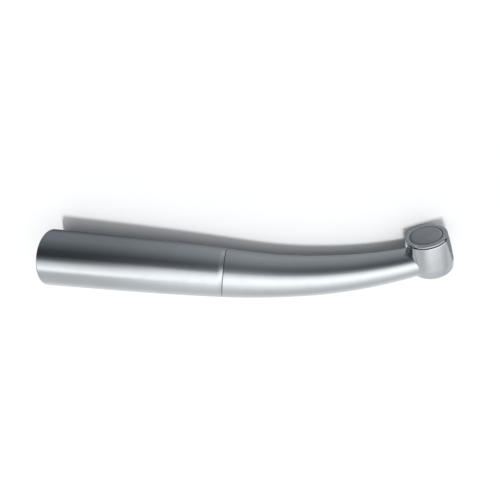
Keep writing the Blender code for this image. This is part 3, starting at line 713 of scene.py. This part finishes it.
def build_dog():
    """The slotted dog that the motor turns, as seen down the socket, with a hole across it for a pin."""
    rear, front = 14.6 * MM, 21.6 * MM
    dog = turned("dog_skin", rounded([
        (rear, 1.65 * MM, 0.06 * MM), (rear, 2.45 * MM, 0.2 * MM), (front, 2.45 * MM, 0.2 * MM),
        (front, 1.65 * MM, 0.0),
    ]), GRIP, 96)
    slot = block("slot", GRIP @ Matrix.Translation((rear, 0, 0)), (4.0 * MM, 7 * MM, 1.3 * MM))
    crosswise = columns(across, -grip_way, button_side, GRIP @ Vector((19.4 * MM, 0, 0)))
    reach, pin_r = 3.2 * MM, 0.47 * MM
    hole = turned("hole", [(-reach, 0), (-reach, pin_r), (reach, pin_r), (reach, 0)], crosswise, 32)
    piece(cut(dog, slot, hole), "drive_train", "dark_steel", dark["grip"], "drive_dog")


build_sleeve()
build_chassis()
build_joint_ring()
build_neck()
build_head()
build_cap_and_button()
build_spring()
build_spindle()
build_dog()


# === Table, light and camera ============================================================================
def build_floor():
    """A pale, matt table top with a trace of unevenness."""
    bm = bmesh.new()
    bmesh.ops.create_grid(bm, x_segments=1, y_segments=1, size=2.5)
    bmesh.ops.translate(bm, verts=bm.verts, vec=(0, 0, cad_low.z))
    floor = finish_mesh("table_top", bm)
    surface, tree, shader = new_material("table_pale")
    source = add(tree, "ShaderNodeTexCoord").outputs["Object"]
    patch = noise(tree, source, 9.0, detail=3.0)
    fibre = noise(tree, source, 2600.0, detail=3.0)
    shade = maths(tree, "MULTIPLY_ADD", fibre, 0.35, maths(tree, "MULTIPLY", patch, 0.65))
    pale = tinted(tree, shade, (0.625, 0.625, 0.627), (0.655, 0.655, 0.654))
    tree.links.new(pale, shader.inputs["Base Color"])
    shader.inputs["Roughness"].default_value = 0.9
    shader.inputs["Specular IOR Level"].default_value = 0.0
    bump = add(tree, "ShaderNodeBump", {"Height": fibre, "Distance": 4e-6, "Strength": 1.0})
    tree.links.new(bump.outputs[0], shader.inputs["Normal"])
    floor.data.materials.append(surface)
    floor.visible_glossy = False  # the surroundings below say what the metal mirrors of the table


LOWEST = -120.0  # the turn round the object, in degrees from the +Y horizon over the zenith, starts here


def ramp(tree, factor, stops):
    """Brightness round the object, through (degrees from the +Y horizon over the zenith, brightness)."""
    made = add(tree, "ShaderNodeValToRGB", {0: factor})
    elements = made.color_ramp.elements
    while len(elements) < len(stops):
        elements.new(0.5)
    top = max(level for _, level in stops)
    for element, (degrees, level) in zip(elements, stops):
        element.position = (degrees - LOWEST) / 360
        element.color = (level / top, level / top, level / top, 1.0)
    return maths(tree, "MULTIPLY", made.outputs[0], top)


def build_light():
    """A long soft box overhead, a pale wall on the far side and a dim room on the camera's side.

    Below the horizon the same surroundings stand for the table as the metal mirrors it: shaded on the
    camera's side and pale on the far side.
    """
    world = bpy.data.worlds.new("studio")
    world.use_nodes = True
    tree = world.node_tree
    background = tree.nodes["Background"]
    parts = add(tree, "ShaderNodeSeparateXYZ", {0: add(tree, "ShaderNodeTexCoord").outputs["Generated"]})
    x, y, z = parts.outputs[0], parts.outputs[1], parts.outputs[2]
    # the turn is measured from opposite its start, so that its jump lies below the table, behind the object
    tilt = math.radians(LOWEST + 180)
    level_y = maths(tree, "MULTIPLY_ADD", y, math.cos(tilt), maths(tree, "MULTIPLY", z, math.sin(tilt)))
    level_z = maths(tree, "MULTIPLY_ADD", z, math.cos(tilt), maths(tree, "MULTIPLY", y, -math.sin(tilt)))
    turn = maths(tree, "MULTIPLY_ADD", maths(tree, "ARCTAN2", level_z, level_y), 0.5 / math.pi, 0.5)
    # the box comes a little nearer to the camera's side towards the head
    past = maths(tree, "MAXIMUM", maths(tree, "SUBTRACT", x, 0.13), 0.0)
    turn = maths(tree, "MULTIPLY_ADD", past, 0.1, turn)
    rear = ramp(tree, turn, [
        (-115, 0.10), (-93, 0.115), (-62, 0.26), (-24, 0.245), (5, 0.148), (30, 0.06), (52, 0.035),
        (66, 0.16), (80, 0.80), (93, 1.28), (106, 1.60), (112, 1.10),
        (120, 0.70), (136, 0.66), (152, 0.68), (172, 0.74),
        (200, 0.95), (235, 0.90),
    ])
    middle = ramp(tree, turn, [
        (-115, 0.20), (-80, 0.34), (-60, 0.39), (-40, 0.37), (-20, 0.33), (-3, 0.26), (12, 0.18), (30, 0.10),
        (48, 0.16), (56, 0.34), (62, 0.82), (70, 1.14), (80, 1.42), (92, 1.58), (106, 1.55), (116, 1.24),
        (126, 1.07), (138, 0.91), (160, 0.79), (188, 0.88), (235, 0.90),
    ])
    front = ramp(tree, turn, [
        (-115, 0.30), (-80, 0.36), (-47, 0.53), (-23, 0.40), (-3, 0.33), (15, 0.225), (33, 0.21), (48, 0.42),
        (60, 0.98), (70, 1.35), (82, 1.68), (100, 1.62), (118, 1.24), (139, 0.86), (164, 0.73), (200, 0.95),
        (235, 0.90),
    ])
    level = maths(tree, "MULTIPLY_ADD", spread(tree, x, -0.40, -0.06, 0.0, 1.0),
                  maths(tree, "SUBTRACT", middle, rear), rear)
    level = maths(tree, "MULTIPLY_ADD", spread(tree, x, -0.06, 0.14, 0.0, 1.0),
                  maths(tree, "SUBTRACT", front, level), level)
    # the room gets dimmer past both ends of the soft box
    head_end, rear_end = spread(tree, x, 0.70, 0.95, 1.0, 0.84), spread(tree, x, -0.95, -0.65, 0.65, 1.0)
    ends = maths(tree, "MULTIPLY", head_end, rear_end)
    level = maths(tree, "MULTIPLY", level, ends)
    cool = tinted(tree, spread(tree, level, 0.1, 0.7, 0.0, 1.0), (0.92, 1.0, 1.10), (0.985, 1.0, 1.02))
    colour = add(tree, "ShaderNodeVectorMath", {0: cool, "Scale": level}, operation="SCALE").outputs[0]
    tree.links.new(colour, background.inputs["Color"])
    # what the camera sees past the table's edge is a plain bright backdrop
    camera_ray = add(tree, "ShaderNodeLightPath").outputs["Is Camera Ray"]
    backdrop = add(tree, "ShaderNodeBackground", {"Color": (1.0, 1.0, 1.0, 1.0)})
    sources = {0: camera_ray, 1: background.outputs[0], 2: backdrop.outputs[0]}
    mixed = add(tree, "ShaderNodeMixShader", sources)
    tree.links.new(mixed.outputs[0], tree.nodes["World Output"].inputs["Surface"])
    bpy.context.scene.world = world

    lamp = bpy.data.lights.new("overhead_lamp", "SUN")
    lamp.energy = 2.36
    lamp.angle = math.radians(9.5)
    overhead = bpy.data.objects.new("overhead_lamp", lamp)
    bpy.context.scene.collection.objects.link(overhead)
    overhead.rotation_euler = (math.radians(6.0), math.radians(-5.0), 0.0)
    overhead.visible_glossy = False


CAMERA_PLACE = (5.34 * MM, 53.34 * MM, 86.04 * MM)
CAMERA_DEGREES = (-32.351, 5.333, 3.870)
CAMERA_LENS, CAMERA_SENSOR = 27.72, 36.0


def build_camera():
    """Above and in front of the push-button's side, with the table's far side at the picture's bottom."""
    camera = bpy.data.cameras.new("camera")
    camera.sensor_width = CAMERA_SENSOR
    camera.lens = CAMERA_LENS
    camera.clip_start = 5 * MM
    placed = bpy.data.objects.new("camera", camera)
    bpy.context.scene.collection.objects.link(placed)
    placed.location = CAMERA_PLACE
    placed.rotation_euler = [math.radians(turn) for turn in CAMERA_DEGREES]
    bpy.context.scene.camera = placed


build_floor()
build_light()
build_camera()
scene = bpy.context.scene
scene.view_settings.view_transform = "Standard"
scene.view_settings.look = "None"
